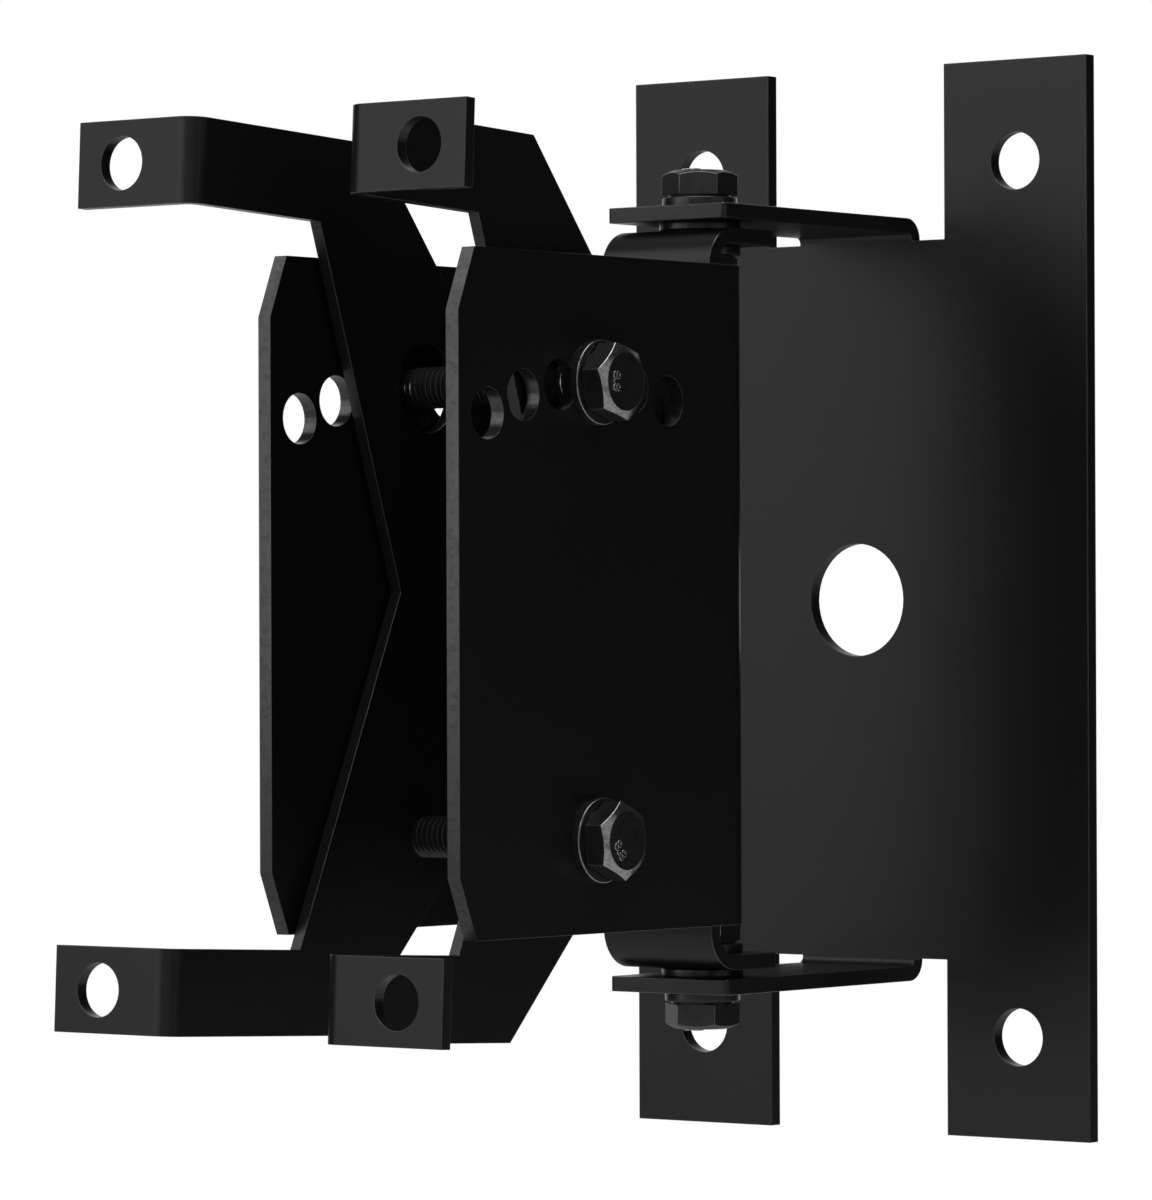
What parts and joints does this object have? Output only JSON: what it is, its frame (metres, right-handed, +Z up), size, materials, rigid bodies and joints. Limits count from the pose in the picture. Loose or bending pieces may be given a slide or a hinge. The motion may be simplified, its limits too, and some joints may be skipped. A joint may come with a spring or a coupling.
{
  "type": "speaker wall bracket",
  "caption": "Folded steel wall plate with ears that carry a swivelling channel and a tilting fork whose tabs hold a loudspeaker.",
  "frame": {"origin": "centre of the four wall fixing holes on the wall plate's back face", "axes": "+X along the wall to the right as seen from the room, +Y into the wall, +Z up"},
  "size_m": [0.112, 0.1944, 0.2156],
  "materials": {
    "powder_coat": "fine satin-matte black powder coat",
    "black_hardware": "black oxide, slightly glossy"
  },
  "bodies": {
    "wall": {"wall_plate": "powder_coat", "pan_spring_washer_top": "black_hardware", "pan_bolt_top": "black_hardware", "pan_spacer_top": "black_hardware", "pan_washer_top": "black_hardware", "pan_nut_top": "black_hardware", "pan_spring_washer_bottom": "black_hardware", "pan_bolt_bottom": "black_hardware", "pan_spacer_bottom": "black_hardware", "pan_washer_bottom": "black_hardware", "pan_nut_bottom": "black_hardware"},
    "swivel": {"swivel_channel": "powder_coat", "tilt_channel": "powder_coat", "tilt_pivot_head_washer": "black_hardware", "tilt_pivot_bolt": "black_hardware", "tilt_pivot_nut_washer": "black_hardware", "tilt_pivot_nut": "black_hardware", "tilt_lock_head_washer": "black_hardware", "tilt_lock_bolt": "black_hardware", "tilt_lock_nut_washer": "black_hardware", "tilt_lock_nut": "black_hardware"},
    "yoke": {"speaker_yoke": "powder_coat"}
  },
  "joints": [
    {"name": "pan", "type": "hinge", "parent": "wall", "child": "swivel", "pos_m": [0, -0.056, 0], "axis": [0, 0, 1], "range_deg": [-60, 60]},
    {"name": "tilt", "type": "hinge", "parent": "swivel", "child": "yoke", "pos_m": [0, -0.1206, -0.0452], "axis": [1, 0, 0], "range_deg": [-2, 3.6]}
  ]
}
